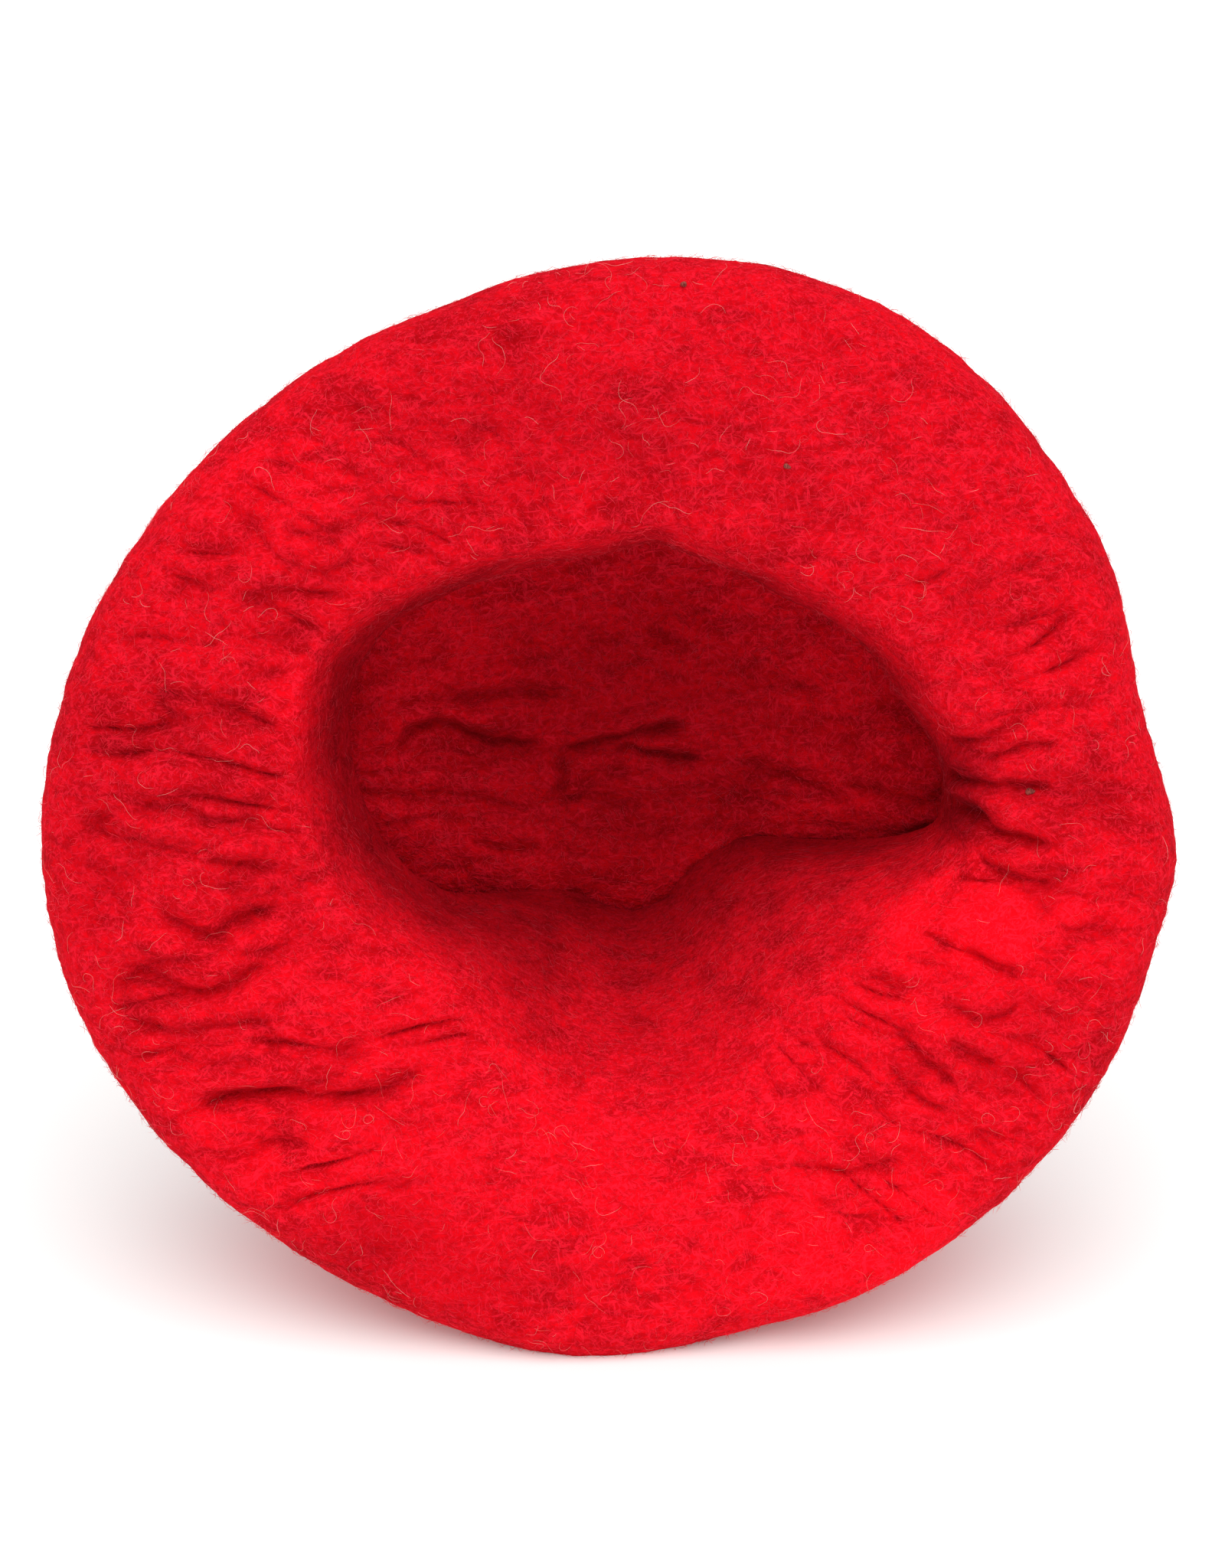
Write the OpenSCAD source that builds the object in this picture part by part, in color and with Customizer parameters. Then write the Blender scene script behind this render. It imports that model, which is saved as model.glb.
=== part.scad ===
// Wool felt beret, standing on its rim and leaning back on its slumped crown.
// The head opening faces -Y.  The origin is at the middle of the base, +Z up, in millimetres.
//
// The felt is one thin shell.  At each clock angle around the hat a profile runs from the edge of
// the turned-in band, round the opening lip, out along the underside, round the rim and over the
// crown to its middle.  r is the distance from the hat's axis and h is the depth behind the disc.

/* [Disc] */
// Mean outer radius of the disc
rim_radius = 144.5; // [130:0.5:160]
// Radius of the rounded fold at the rim
rim_roll = 13; // [9:0.5:16]
// How far the underside swells forwards between lip and rim
underside_swell = 3; // [0:0.5:5]
// Thickness of the felt
felt = 3.6; // [2.5:0.1:4.5]

/* [Head opening] */
// Mean radius of the head opening
opening_radius = 70.5; // [66:0.5:78]
// Depth of the turned-in band at the top of the opening
band_depth = 34; // [20:1:34]
// How far the band turns in towards the middle where it turns in most, at the left
band_turn_in = 8; // [0:1:10]
// Extra depth of the band at the bottom, where it slopes in as a funnel
funnel_depth = 29; // [0:1:29]
// How far the funnel comes in towards the middle
funnel_reach = 29; // [0:1:30]
// Size of the roll at the sharpest part of the lip
lip_roll = 7; // [5:0.5:10]
// Extra size of the roll where the lip is softest
lip_softness = 12; // [0:0.5:14]

/* [Crown] */
// Depth of the crown at its middle
crown_depth = 67; // [66:1:80]
// Fullness of the crown behind the top of the rim
crown_top_fullness = 34; // [25:1:50]
// Fullness of the crown behind the bottom of the rim, where it slumps
crown_slump = 132; // [110:1:140]
// Radius of the flatter middle of the crown
crown_flat_radius = 60; // [45:1:75]
// Slope of the crown's middle, deeper towards the bottom
crown_slope = 0.06; // [0:0.01:0.2]

/* [Stem] */
// Length of the stem
stem_length = 15; // [8:1:22]
// Radius of the stem's root
stem_root_radius = 2.8; // [2:0.1:3.5]
// Radius of the stem near its tip
stem_tip_radius = 1.8; // [1.2:0.1:2]

/* [Stance] */
// Angle that the disc leans back from upright
lean = 14; // [10:0.5:18]
// How far the rim is pressed flat on what it stands on
sink = 3.6; // [2:0.1:5]

/* [Hidden] */

red = [0.86, 0.06, 0.14];
dark_red = [0.62, 0.05, 0.11];

// Gentle lobes of the rim and of the opening: [lobes, height, clock angle times lobes].
rim_lobes = [[2, 1.6, 70], [3, 2.9, -156], [4, 1, -63], [5, 0.9, -84]];
opening_lobes = [[1, 10, 65], [2, 5, -31], [3, 6.8, 87], [4, 2.7, 9], [5, 1.7, 17], [6, 1.1, 122]];

// Clock angles, counter-clockwise from +X as seen from the front.
bottom_angle = 270;
softest_lip_angle = 320;
turn_in_angle = 185;

// Clock angles over which the band grows deeper and reaches further in, and over which that ends.
deep_start = [195, 235];
deep_end = [340, 360];
reach_start = [208, 272];
reach_end = [338, 359];

around = 72;
step = 360 / around;

// The profile's stretches: 0 to 1 band, 1 to 2 underside, 2 to 3 rim, 3 to 4 crown.
lip_end = 1;
underside_end = 2;
rim_end = 3.16;
side_end = 3.55;
crown_middle = 4;
last_ring = 3.96;
tangent_step = 0.004;

function lobed(mean, lobes, a) = mean + sum([for (l = lobes) l[1] * cos(l[0] * a - l[2])]);
function sum(v, i = 0) = i < len(v) ? v[i] + sum(v, i + 1) : 0;
function facing(a, middle) = 0.5 + 0.5 * cos(a - middle);
function eased(x) = let (t = max(0, min(1, x))) t * t * (3 - 2 * t);

function bezier(p, t) =
    pow(1 - t, 3) * p[0] + 3 * t * pow(1 - t, 2) * p[1] + 3 * t * t * (1 - t) * p[2] + pow(t, 3) * p[3];

function rim_r(a) = lobed(rim_radius, rim_lobes, a);
function opening_r(a) = lobed(opening_radius, opening_lobes, a);
function ramp(a, span) = eased((a % 360 - span[0]) / (span[1] - span[0]));
function deep_share(a) = ramp(a, deep_start) * (1 - ramp(a, deep_end));
function reach_share(a) = ramp(a, reach_start) * (1 - ramp(a, reach_end));
function lip_r(a) = opening_r(a) + lip_roll + lip_softness * facing(a, softest_lip_angle);
function band_h(a) = band_depth + funnel_depth * deep_share(a);
function band_r(a) =
    opening_r(a) - funnel_reach * reach_share(a) - band_turn_in * facing(a, turn_in_angle);
function fullness(a) =
    crown_top_fullness + (crown_slump - crown_top_fullness) * pow(facing(a, bottom_angle), 2);

// From the band's edge to the front of the lip.
function band_line(a, t) = bezier([
    [band_r(a), band_h(a)],
    [band_r(a) + 0.45 * (opening_r(a) - band_r(a)), 0.55 * band_h(a)],
    [opening_r(a), 0],
    [lip_r(a), 0]
], t);

// From the lip to the start of the rim.
function underside_line(a, t) = [
    lip_r(a) + (rim_r(a) - rim_roll - lip_r(a)) * t,
    -underside_swell * pow(sin(180 * t), 2)
];

// A quarter round, out to the widest point.
function rim_line(a, t) = [
    rim_r(a) - rim_roll * (1 - sin(90 * t)),
    rim_roll * (1 - cos(90 * t))
];

// From the widest point over the crown to its middle.
function crown_line(a, t) = bezier([
    [rim_r(a), rim_roll],
    [rim_r(a), rim_roll + fullness(a)],
    [crown_flat_radius, crown_depth - crown_slope * crown_flat_radius * sin(a)],
    [0, crown_depth]
], t);

function outer_line(a, s) =
    s <= 1 ? band_line(a, s)
    : s <= 2 ? underside_line(a, s - 1)
    : s <= 3 ? rim_line(a, s - 2)
    : crown_line(a, s - 3);

// The inner face lies one felt thickness inside the outer face.
function inner_line(a, s) =
    let (before = outer_line(a, max(s - tangent_step, 0)))
    let (after = outer_line(a, min(s + tangent_step, crown_middle)))
    let (along = (after - before) / norm(after - before))
    outer_line(a, s) + felt * [-along[1], along[0]];

// From the hat's own frame to the standing frame.  What would lie below base is pressed flat.
stand_height = rim_r(bottom_angle) * cos(lean) + rim_roll * sin(lean) - sink;
function standing(a, line, base) = [
    line[0] * cos(a),
    line[0] * sin(a) * sin(lean) + line[1] * cos(lean),
    max(line[0] * sin(a) * cos(lean) - line[1] * sin(lean) + stand_height, base)
];

// The direction the stem points, square to the crown's middle.
stem_tilt = atan(crown_slope);
stem_rise = stem_tilt - lean;
stem_tip_y = crown_depth * cos(lean) + stem_length * cos(stem_rise);

// Where the whole hat's middle lies, so that the origin can be put under it.
outline = [for (a = [0:step:359], s = [0:0.1:crown_middle]) standing(a, outer_line(a, s), 0)];
outline_x = [for (p = outline) p[0]];
outline_y = [for (p = outline) p[1]];
middle_x = (min(outline_x) + max(outline_x)) / 2;
middle_y = (min(outline_y) + max(max(outline_y), stem_tip_y)) / 2;

function outer_point(a, s) = standing(a, outer_line(a, s), 0) - [middle_x, middle_y, 0];
function inner_point(a, s) = standing(a, inner_line(a, s), felt) - [middle_x, middle_y, 0];

function stations(from, to, count) = [for (i = [0:count]) from + (to - from) * i / count];

// The two triangles of the four-sided patch between ring i and ring i + 1.
function patch(first, i, j, inside) =
    let (k = (j + 1) % around)
    let (p = first + i * around + j)
    let (q = first + i * around + k)
    let (r = p + around)
    let (s = q + around)
    inside ? [[p, r, q], [q, r, s]] : [[p, q, r], [q, s, r]];

// A wall through the felt, between the outer and the inner ring of the same station.
function wall(outer, inner, at_end) = [
    for (j = [0:around - 1])
        let (k = (j + 1) % around)
        each at_end
            ? [[outer + j, outer + k, inner + j], [outer + k, inner + k, inner + j]]
            : [[outer + j, inner + j, outer + k], [outer + k, inner + j, inner + k]]
];

// A closed piece of the shell from one station to another.  A closed end runs to the middle.
module felt_zone(from, to, rows, closed = false) {
    rings = rows + 1;
    inner = rings * around;
    pole = 2 * inner;
    ring_stations = stations(from, to, rows);
    points = [
        for (s = ring_stations, j = [0:around - 1]) outer_point(j * step, s),
        for (s = ring_stations, j = [0:around - 1]) inner_point(j * step, s),
        if (closed) outer_point(0, crown_middle),
        if (closed) inner_point(0, crown_middle)
    ];
    last = inner - around;
    faces = [
        for (i = [0:rows - 1], j = [0:around - 1]) each patch(0, i, j, false),
        for (i = [0:rows - 1], j = [0:around - 1]) each patch(inner, i, j, true),
        each wall(0, inner, false),
        if (!closed) each wall(last, inner + last, true),
        if (closed) for (j = [0:around - 1]) [last + j, last + (j + 1) % around, pole],
        if (closed) for (j = [0:around - 1]) [inner + last + j, pole + 1, inner + last + (j + 1) % around]
    ];
    polyhedron(points, faces, convexity = 10);
}

module opening_lip() {
    color(dark_red) felt_zone(0, lip_end, 8);
}

module underside() {
    color(red) felt_zone(lip_end, underside_end, 6);
}

module rolled_edge() {
    color(red) felt_zone(underside_end, rim_end, 7);
}

module crown_side() {
    color(red) felt_zone(rim_end, side_end, 8);
}

module crown_top() {
    color(red) felt_zone(side_end, last_ring, 8, closed = true);
}

// A soft stalk that tapers to a rounded tip.
module stem() {
    root = outer_point(0, crown_middle);
    shaft_length = stem_length - stem_tip_radius;
    color(dark_red)
        translate(root)
            rotate([stem_rise - 90, 0, 0])
                rotate_extrude($fn = 32)
                    union() {
                        polygon([
                            [0, 0],
                            [stem_root_radius, 0],
                            [stem_tip_radius, shaft_length],
                            [0, shaft_length]
                        ]);
                        intersection() {
                            translate([0, shaft_length]) circle(stem_tip_radius, $fn = 32);
                            translate([0, shaft_length]) square(2 * stem_tip_radius);
                        }
                    }
}

crown_top();
crown_side();
rolled_edge();
underside();
opening_lip();
stem();
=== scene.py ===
"""A red wool felt beret standing on its rim, seen from its underside, on a pale floor.

Lengths are in millimetres in the hat's own frame and become metres in to_frame().
In the hat's frame r is the distance from the axis, h the depth behind the disc, and the clock
angle runs counter-clockwise from the right.  A profile's stations run from the edge of the
turned-in band (0) over the lip (1), the underside (2) and the rim (3) to the crown's middle (4).
"""
import math

import bpy
import numpy as np
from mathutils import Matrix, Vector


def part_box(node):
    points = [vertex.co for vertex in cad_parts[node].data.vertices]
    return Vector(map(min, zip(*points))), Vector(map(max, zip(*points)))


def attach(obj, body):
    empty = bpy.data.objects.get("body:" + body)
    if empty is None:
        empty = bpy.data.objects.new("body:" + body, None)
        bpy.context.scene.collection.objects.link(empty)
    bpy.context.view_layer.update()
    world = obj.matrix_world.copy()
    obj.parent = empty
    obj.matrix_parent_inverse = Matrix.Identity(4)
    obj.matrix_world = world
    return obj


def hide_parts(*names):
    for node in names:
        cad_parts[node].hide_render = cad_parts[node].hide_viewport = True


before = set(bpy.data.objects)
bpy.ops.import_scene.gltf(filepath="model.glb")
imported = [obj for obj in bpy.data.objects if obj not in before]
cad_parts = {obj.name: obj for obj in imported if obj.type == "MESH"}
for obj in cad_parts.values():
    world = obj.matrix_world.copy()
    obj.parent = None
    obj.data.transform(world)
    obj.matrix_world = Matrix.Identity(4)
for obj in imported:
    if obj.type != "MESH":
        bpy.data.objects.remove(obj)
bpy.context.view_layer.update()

MM = 0.001

# ---------------------------------------------------------------- the hat's dimensions

RIM_RADIUS = 144.5
RIM_ROLL = 13.0
UNDERSIDE_SWELL = 3.0
FELT = 3.6
PUCKER_THICKNESS = 2.8
OPENING_RADIUS = 70.5
BAND_DEPTH = 34.0
BAND_TURN_IN = 8.0
FUNNEL_DEPTH = 29.0
FUNNEL_REACH = 29.0
LIP_ROLL = 7.0
LIP_SOFTNESS = 12.0
CROWN_DEPTH = 67.0
CROWN_TOP_FULLNESS = 34.0
CROWN_SLUMP = 132.0
CROWN_FLAT_RADIUS = 60.0
CROWN_SLOPE = 0.06
STEM_DIMPLE = 8.0
LEAN = 14.0
SINK = 3.6

# Gentle lobes of the rim and of the opening: (lobes, height, clock angle times lobes).  They were
# fitted by a separate program to radii measured on the photograph.
RIM_LOBES = [(2, 1.6, 70), (3, 2.9, -156), (4, 1.0, -63), (5, 0.9, -84)]
OPENING_LOBES = [(1, 10, 65), (2, 5, -31), (3, 6.8, 87), (4, 2.7, 9), (5, 1.7, 17), (6, 1.1, 122)]

BOTTOM_ANGLE = 270
SOFTEST_LIP_ANGLE = 320
TURN_IN_ANGLE = 185

# Clock angles over which the band grows deeper and reaches further in, and over which that ends.
DEEP_START = (195, 235)
DEEP_END = (340, 360)
REACH_START = (208, 272)
REACH_END = (338, 359)

LIP_END = 1.0
UNDERSIDE_END = 2.0
RIM_END = 3.16
SIDE_END = 3.55
LAST_RING = 3.992
CROWN_MIDDLE = 4.0

# Painted shade darkens the felt towards the inside, where the cavity lies in shade: the depth behind the
# disc over which the band darkens, and how dark the band gets next to the crown's inner face.
INSIDE_DEPTH = 60.0
BAND_DARKNESS = 0.6
EDGE_DARKNESS = 0.4
INNER_DARKNESS = 0.74
# Where the lip turns straight in, painted shade darkens it from its edge on: (how dark, first and last
# clock angle, degrees over which it fades out, station where the dark starts, stations it takes).
TURNED_LIP = [
    (0.70, 120, 150, 20, 0.72, 0.30),
    (0.78, 155, 196, 20, 1.00, 0.80),
    (0.85, 1, 12, 7, 0.97, 0.28),
    (0.70, 18, 60, 18, 0.85, 0.55),
    (0.50, 75, 110, 15, 0.66, 0.36),
    (0.85, 200, 245, 20, 0.86, 0.70),
]

# Patches of painted light (above 0) and painted shade (below 0): (strength, across, up, half width, half
# height) on the disc seen from the front.
LIGHT_AND_SHADE_PATCHES = [
    (-0.38, -31, -121, 26, 12),
    (-0.60, -64, -108, 20, 13),
    (-0.35, -10, 107, 40, 13),
    (1.00, 76, -114, 30, 22),
    (0.50, -84, 92, 22, 18),
    (0.80, -74, 31, 13, 12),
    (0.50, -104, -25, 16, 14),
    (0.60, -88, -86, 18, 16),
    (1.00, 84, -20, 18, 13),
    (0.60, 104, -20, 14, 12),
    (0.40, 112, 44, 16, 20),
    (-0.30, 118, 14, 13, 10),
    (-0.25, 110, -52, 18, 16),
    (-0.20, -134, 0, 12, 44),
]

# How the crown's inner face slumps forward as a pillow: (height, across, up, half width, half height).
PILLOW = [(4.5, -22, -18, 46, 18), (6.0, -72, -2, 18, 40), (9.0, 84, -4, 24, 24)]

# Small bulges and notches of the lip and of the rim: (height, clock angle, half width).
LIP_BUMPS = [(4.5, 22, 11), (-4.0, -2, 8), (-2.6, 108, 15), (-2.0, 82, 7), (-3.0, 184, 26)]
RIM_BUMPS = [(3.2, -3, 7), (-1.8, 14, 7), (1.4, 30, 8), (1.4, 265, 8), (-2.2, 284, 9), (-1.0, 108, 5)]

# A small step along the profile, in stations, for finding directions.
SMALL_STATION = 0.004


def cosd(a):
    return np.cos(np.radians(a))


def sind(a):
    return np.sin(np.radians(a))


def eased(x):
    t = np.clip(x, 0, 1)
    return t * t * (3 - 2 * t)


def lobed(mean, lobes, a):
    return mean + sum(height * cosd(count * a - phase) for count, height, phase in lobes)


def turn_from(a, middle):
    """Degrees from a middle clock angle, from -180 to 180."""
    return (a - middle + 180) % 360 - 180


def facing(a, middle):
    return 0.5 + 0.5 * cosd(a - middle)


def rim_r(a):
    return lobed(RIM_RADIUS, RIM_LOBES, a)


def opening_r(a):
    return lobed(OPENING_RADIUS, OPENING_LOBES, a)


def ramp(a, span):
    return eased((a % 360 - span[0]) / (span[1] - span[0]))


def deep_share(a):
    return ramp(a, DEEP_START) * (1 - ramp(a, DEEP_END))


def reach_share(a):
    return ramp(a, REACH_START) * (1 - ramp(a, REACH_END))


def lip_r(a):
    return opening_r(a) + LIP_ROLL + LIP_SOFTNESS * facing(a, SOFTEST_LIP_ANGLE)


def bezier(points, t):
    weights = [(1 - t) ** 3, 3 * t * (1 - t) ** 2, 3 * t * t * (1 - t), t ** 3]
    r = sum(w * p[0] for w, p in zip(weights, points))
    h = sum(w * p[1] for w, p in zip(weights, points))
    return r, h


def band_line(a, t):
    edge_r = opening_r(a) - FUNNEL_REACH * reach_share(a) - BAND_TURN_IN * facing(a, TURN_IN_ANGLE)
    edge_h = BAND_DEPTH + FUNNEL_DEPTH * deep_share(a)
    middle_r = edge_r + 0.45 * (opening_r(a) - edge_r)
    return bezier([(edge_r, edge_h), (middle_r, 0.55 * edge_h), (opening_r(a), 0), (lip_r(a), 0)], t)


def underside_line(a, t):
    r = lip_r(a) + (rim_r(a) - RIM_ROLL - lip_r(a)) * t
    return r, -UNDERSIDE_SWELL * np.sin(np.pi * t) ** 2


def rim_line(a, t):
    r = rim_r(a) - RIM_ROLL * (1 - np.sin(np.pi / 2 * t))
    return r, RIM_ROLL * (1 - np.cos(np.pi / 2 * t))


def crown_line(a, t):
    fullness = CROWN_TOP_FULLNESS + (CROWN_SLUMP - CROWN_TOP_FULLNESS) * facing(a, BOTTOM_ANGLE) ** 2
    flat_h = CROWN_DEPTH - CROWN_SLOPE * CROWN_FLAT_RADIUS * sind(a)
    return bezier([
        (rim_r(a), RIM_ROLL),
        (rim_r(a), RIM_ROLL + fullness),
        (CROWN_FLAT_RADIUS, flat_h),
        (0, CROWN_DEPTH),
    ], t)


def outer_line(a, s):
    """r and h of the outer face at clock angles a and stations s, two arrays of one length."""
    r = np.zeros_like(a)
    h = np.zeros_like(a)
    stretches = [(-1, 1, band_line), (1, 2, underside_line), (2, 3, rim_line), (3, 5, crown_line)]
    for low, high, line in stretches:
        here = (s > low) & (s <= high)
        r[here], h[here] = line(a[here], s[here] - max(low, 0))
    return r, h


def profile(a, s):
    """r and h of the outer face, and the direction out of the felt there."""
    before = outer_line(a, np.maximum(s - SMALL_STATION, 0))
    after = outer_line(a, np.minimum(s + SMALL_STATION, CROWN_MIDDLE))
    along_r = after[0] - before[0]
    along_h = after[1] - before[1]
    size = np.hypot(along_r, along_h)
    r, h = outer_line(a, s)
    return r, h, along_h / size, -along_r / size


STAND_HEIGHT = float(rim_r(BOTTOM_ANGLE) * cosd(LEAN) + RIM_ROLL * sind(LEAN) - SINK)
rim_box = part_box("rolled_edge")


def standing(a, r, h, base):
    """From the hat's frame to the standing one.  What would lie below base is pressed flat."""
    up = r * sind(a)
    x = r * cosd(a)
    y = up * sind(LEAN) + h * cosd(LEAN)
    z = up * cosd(LEAN) - h * sind(LEAN) + STAND_HEIGHT
    return np.stack([x, y, np.maximum(z, base)], -1)


def frame_shift():
    """How far the hat's axis lies from the frame's origin, so that its rim fills the CAD rim's box."""
    a, s = np.meshgrid(np.arange(0.0, 360.0, 5.0), np.linspace(2.0, RIM_END, 60))
    a = a.ravel()
    s = s.ravel()
    rim = standing(a, *outer_line(a, s), 0.0)
    low = np.array(rim_box[0]) / MM
    return np.array([low[0] - rim[:, 0].min(), low[1] - rim[:, 1].min(), 0.0])


SHIFT = frame_shift()


def to_frame(points):
    return (points + SHIFT) * MM


# ---------------------------------------------------------------- noise

NOISE_SEED = 11
noise_random = np.random.default_rng(NOISE_SEED)
SHUFFLE = noise_random.permutation(256)
SLOPES = noise_random.normal(size=(256, 3))
SLOPES /= np.linalg.norm(SLOPES, axis=1)[:, None]


def noise(x, y, z):
    """Smooth gradient noise of about -0.8 to 0.8, with features one unit across."""
    p = np.stack(np.broadcast_arrays(x, y, z), -1)
    cell = np.floor(p).astype(int)
    f = p - cell
    u = f * f * f * (f * (f * 6 - 15) + 10)
    total = np.zeros(p.shape[:-1])
    for i in (0, 1):
        for j in (0, 1):
            for k in (0, 1):
                c = cell + [i, j, k]
                key = SHUFFLE[(SHUFFLE[(SHUFFLE[c[..., 0] & 255] + c[..., 1]) & 255] + c[..., 2]) & 255]
                weight = np.ones(p.shape[:-1])
                for axis, corner in enumerate((i, j, k)):
                    weight = weight * (u[..., axis] if corner else 1 - u[..., axis])
                total += weight * np.sum(SLOPES[key] * (f - [i, j, k]), -1)
    return total


def folds(field, width):
    """Narrow valleys where the field crosses zero, with round backs between them.

    Gives the height, and how deep in a valley a point lies."""
    valley = np.exp(-np.abs(field) / width)
    return 0.9 * np.abs(field) - valley, valley


# ---------------------------------------------------------------- sculpting the felt

# Creases of the underside and of the crown's inner face, as places on the disc seen from the
# front: (depth, half width, points from the disc's middle).  Most of the points were read off the
# photograph and turned into millimetres by a separate program.
UNDERSIDE_CREASES = [
    (2.4, 2.2, [(-126, 6), (-111, 8), (-100, 4), (-86, 5)]),
    (1.9, 2.0, [(-105, -6), (-95, -7), (-84, -9)]),
    (2.8, 2.3, [(-119, -15), (-114, -21), (-103, -26), (-97, -22), (-83, -18)]),
    (2.7, 2.4, [(-127, -34), (-118, -37), (-108, -41), (-97, -38), (-85, -30)]),
    (2.4, 2.3, [(-132, -47), (-113, -51), (-98, -49), (-83, -48)]),
    (1.6, 2.0, [(-118, -57), (-106, -59), (-88, -58)]),
    (2.9, 2.4, [(-114, -71), (-94, -68), (-78, -69), (-62, -68), (-44, -59)]),
    (1.4, 2.0, [(-95, -83), (-86, -82), (-78, -82)]),
    (1.5, 1.7, [(-85, 80), (-76, 77), (-67, 74)]),
    (1.3, 1.8, [(-69, 113), (-62, 108), (-57, 105)]),
    (1.3, 1.8, [(-70, 95), (-62, 92), (-55, 90)]),
    (1.1, 1.7, [(-46, 104), (-39, 101), (-33, 96)]),
    (1.1, 1.6, [(-38, 91), (-34, 82)]),
    (1.8, 1.5, [(86, 25), (94, 25), (100, 28), (106, 31)]),
    (1.9, 1.5, [(93, 18), (99, 21), (104, 23), (114, 25)]),
    (2.2, 1.5, [(74, 17), (81, 14), (86, 15), (92, 13), (107, 13), (114, 11)]),
    (3.1, 1.8, [(81, 5), (86, 6), (91, 5), (95, 2), (99, 0), (106, -1), (114, -3)]),
    (2.4, 1.6, [(91, -3), (95, -7), (101, -10), (108, -12), (115, -13)]),
    (1.2, 1.5, [(74, -32), (81, -34), (88, -35)]),
    (1.8, 1.6, [(89, -29), (98, -34), (107, -38)]),
    (1.8, 1.6, [(83, -43), (97, -48), (107, -42)]),
    (2.2, 1.8, [(71, -49), (81, -59), (91, -68)]),
    (1.8, 1.6, [(85, -52), (93, -57), (101, -61)]),
    (1.3, 1.5, [(53, -55), (60, -59), (66, -62)]),
    (1.9, 1.6, [(71, -59), (77, -67), (89, -73)]),
    (1.8, 1.6, [(44, -86), (61, -89), (77, -85)]),
]
INNER_CREASES = [
    (2.7, 1.5, [(-63, 7), (-60, 11), (-57, 16), (-50, 19), (-41, 17), (-35, 14), (-26, 13), (-16, 12)]),
    (2.6, 1.4, [(-17, 11), (-8, 12), (-1, 14), (9, 17), (24, 19)]),
    (2.4, 1.4, [(-2, 13), (6, 12), (14, 10), (27, 8)]),
    (1.8, 1.3, [(-14, 13), (-15, 6), (-15, 0), (-17, -4)]),
    (1.3, 1.6, [(-78, 2), (-64, -1), (-48, -1), (-36, -3), (-24, -5), (-15, -5)]),
    (1.9, 1.5, [(-19, -5), (-9, -2), (2, -3), (11, -7)]),
    (1.4, 1.8, [(-52, 31), (-38, 27), (-22, 28), (-8, 24)]),
    (1.4, 1.6, [(31, 9), (46, 4), (58, 0), (70, -6)]),
    (1.4, 1.5, [(35, -13), (45, -16), (60, -17), (78, -15), (91, -8)]),
    (1.8, 1.5, [(62, 2), (74, 0), (86, -2), (96, -1)]),
    (1.3, 1.5, [(8, 45), (16, 43), (22, 40)]),
    (1.1, 1.6, [(40, 34), (52, 30), (60, 28)]),
    (0.7, 2.2, [(-17, -8), (-14, -16), (-13, -26), (-8, -33)]),
    (1.3, 2.0, [(-40, -14), (-28, -17), (-17, -15)]),
]


def smooth_path(points, step=2.0):
    """A smooth line through the points, as closely spaced points."""
    p = np.array(points, float)
    p = np.vstack([2 * p[0] - p[1], p, 2 * p[-1] - p[-2]])
    out = []
    for i in range(1, len(p) - 2):
        count = max(2, int(np.linalg.norm(p[i + 1] - p[i]) / step))
        for t in np.arange(count) / count:
            out.append(0.5 * (
                2 * p[i] + (p[i + 1] - p[i - 1]) * t
                + (2 * p[i - 1] - 5 * p[i] + 4 * p[i + 1] - p[i + 2]) * t * t
                + (3 * p[i] - p[i - 1] - 3 * p[i + 1] + p[i + 2]) * t ** 3
            ))
    out.append(p[-2])
    return np.array(out)


def crease_relief(x, y, creases):
    """Valleys along the creases with a soft swelling on both sides, fading out at their ends."""
    wander_x = 1.1 * noise(x / 6, y / 6, 61.0)
    wander_y = 1.4 * noise(x / 6, y / 6, 67.0)
    x = x + wander_x
    y = y + wander_y
    total = np.zeros_like(x)
    hollow = np.zeros_like(x)
    for depth, width, points in creases:
        path = smooth_path(points)
        reach = 8 * width
        low = path.min(0) - reach
        high = path.max(0) + reach
        near = np.flatnonzero((x > low[0]) & (x < high[0]) & (y > low[1]) & (y < high[1]))
        if not len(near):
            continue
        p = np.stack([x[near], y[near]], -1)
        best = np.full(len(near), 1e9)
        share = np.zeros(len(near))
        for i in range(len(path) - 1):
            along = path[i + 1] - path[i]
            t = np.clip(((p - path[i]) @ along) / (along @ along), 0, 1)
            d = np.linalg.norm(p - path[i] - t[:, None] * along, axis=1)
            closer = d < best
            best[closer] = d[closer]
            share[closer] = (i + t[closer]) / (len(path) - 1)
        fade = eased(share / 0.2) * eased((1 - share) / 0.2)
        valley = -np.exp(-(best / width) ** 1.4)
        banks = 0.6 * np.exp(-((best - 3.0 * width) / (2.0 * width)) ** 2)
        total[near] += depth * fade * (valley + banks)
        # Painted shade in the valley, as strong as the crease is deep.
        hollow[near] = np.maximum(hollow[near], min(1, depth / 2.5) * -valley * fade)
    return total, hollow


def between(a, first, last, soft):
    """1 for clock angles from first to last, fading to 0 over soft degrees outside them."""
    middle = (first + last) / 2
    off = np.abs(turn_from(a, middle)) - (last - first) / 2
    return 1 - eased(off / soft)


def felt_grain(x, y, h):
    """The small lumps of the felt, a little longer sideways."""
    swells = 0.60 * noise(x / 15, y / 8, h / 12 + 3)
    lumps = 0.42 * noise(x / 6, y / 3.6, h / 5)
    grains = 0.17 * noise(x / 2.4, y / 1.8, h / 2.2 + 5)
    return swells + lumps + grains


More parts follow.
